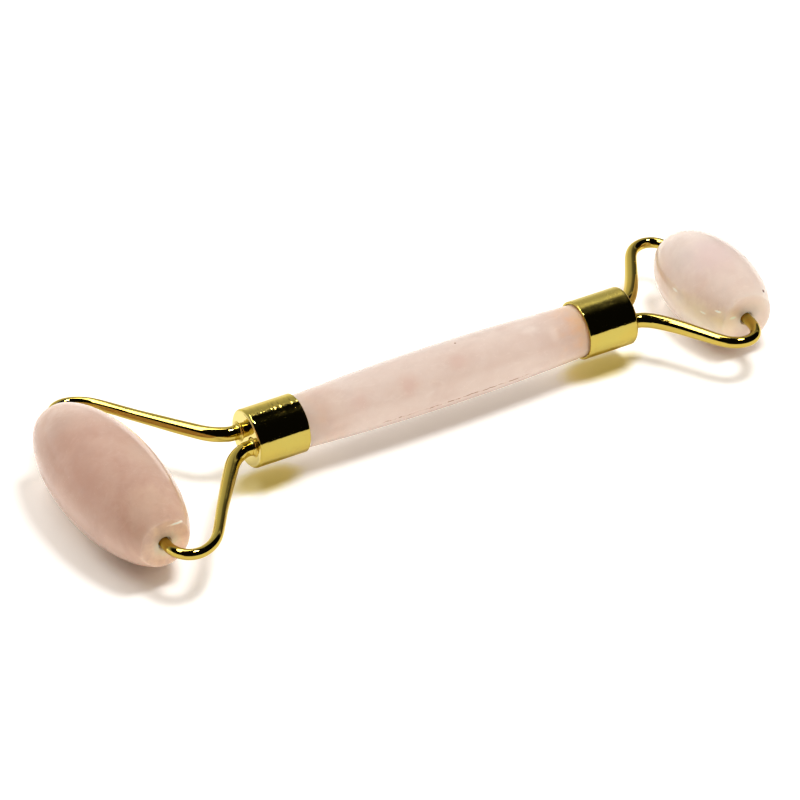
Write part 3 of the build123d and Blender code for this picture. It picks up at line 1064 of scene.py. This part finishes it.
def area_light(name, shape, size, energy, colour, location):
    """size is the disk's diameter in a list of one, or the two sides."""
    data = bpy.data.lights.new(name, "AREA")
    data.shape = shape
    data.size = size[0]
    if len(size) > 1:
        data.size_y = size[1]
    data.energy = energy
    data.color = colour
    lamp = bpy.data.objects.new(name, data)
    bpy.context.scene.collection.objects.link(lamp)
    lamp.location = location
    lamp.visible_camera = False
    return lamp


def receivers(name, accepts):
    """Collection of the meshes whose names a linked light accepts."""
    group = bpy.data.collections.new(name)
    for thing in bpy.context.scene.objects:
        if thing.type == "MESH" and accepts(thing.name):
            group.objects.link(thing)
    return group


def build_lights():
    # key, nearly overhead; it lights and shadows but isn't mirrored
    above = Vector((0.215, -0.115, 0.97)).normalized()
    key = area_light("key", "DISK", size=[0.24], energy=3.85, colour=(1.0, 0.985, 0.965),
                     location=above * 0.62)
    turn_back(key, above)
    key.visible_glossy = False

    all_but_stone = receivers("takes_strip_light", lambda name: not name.startswith("rose_"))
    metal = receivers("takes_strip_core", lambda name: name.startswith("gold_"))

    # soft boxes overhead, the streaks in the plating; the satin stone doesn't take them
    # name, shape, location x and y, length, width (all four per unit of height),
    # radiance, receivers
    for name, shape, x, y, length, width, radiance, group in (
        ("strip", "RECTANGLE", -0.143, 0.378, 1.10, 0.19, 8.5, all_but_stone),
        ("strip_core", "RECTANGLE", -0.143, 0.372, 1.06, 0.115, 95.0, metal),
        ("round_lamp", "ELLIPSE", 0.225, -0.03, 0.18, 0.18, 70.0, metal),
    ):
        size = [length * FAR, width * FAR]
        area = size[0] * size[1] * (math.pi / 4 if shape == "ELLIPSE" else 1.0)
        lamp = area_light(name, shape, size, energy=radiance * math.pi * area,
                          colour=(1.0, 0.985, 0.955), location=(x * FAR, y * FAR, FAR))
        lamp.rotation_euler = (0.0, 0.0, math.atan2(0.543, 0.84))
        lamp.light_linking.receiver_collection = group

    # low bright panel beyond the large roller, seen only in the plating
    length, width, radiance = 28.0, 2.4, 2.0
    panel = area_light("low_panel", "RECTANGLE", size=[length, width],
                       energy=radiance * math.pi * length * width,
                       colour=(1.0, 0.985, 0.96), location=(-FAR, 0.0, 1.1))
    turn_back(panel, Vector((-1.0, 0.0, 0.0)))
    panel.light_linking.receiver_collection = metal


# ---------------------------------------------------------------------------
# Camera: long lens, from the front, above and towards the large roller
# ---------------------------------------------------------------------------
def build_camera():
    scene = bpy.context.scene
    scene.view_settings.view_transform = "Standard"
    scene.view_settings.look = "None"
    scene.view_settings.exposure = 0.0
    scene.view_settings.gamma = 1.0
    data = bpy.data.cameras.new("camera")
    camera = bpy.data.objects.new("camera", data)
    scene.collection.objects.link(camera)
    azimuth, elevation = math.radians(-29.9), math.radians(34.88)
    distance = 1.2591
    back = Vector((math.sin(azimuth) * math.cos(elevation),
                   -math.cos(azimuth) * math.cos(elevation),
                   math.sin(elevation)))
    camera.location = back * distance
    turn_back(camera, back)
    data.sensor_width = 36.0
    data.lens = 309.4776
    data.shift_x = -0.04659625
    data.shift_y = -0.02963125
    data.clip_start = 0.05
    data.clip_end = 50.0
    scene.camera = camera


# ---------------------------------------------------------------------------
# Build
# ---------------------------------------------------------------------------
build_handle()
build_roller(LARGE, LARGE_STONE, seed=1.0)
build_roller(SMALL, SMALL_STONE, seed=2.0)
build_cup(LARGE, LARGE_CUP_GOLD, dents=True)
build_cup(SMALL, SMALL_CUP_GOLD, dents=False)
for roller in (LARGE, SMALL):
    for hand, side in (("left", 1), ("right", -1)):
        build_arm(roller, hand, side)
        build_braze(roller, hand, side)
dress_cad_nodes()
build_floor()
build_world()
build_lights()
build_camera()
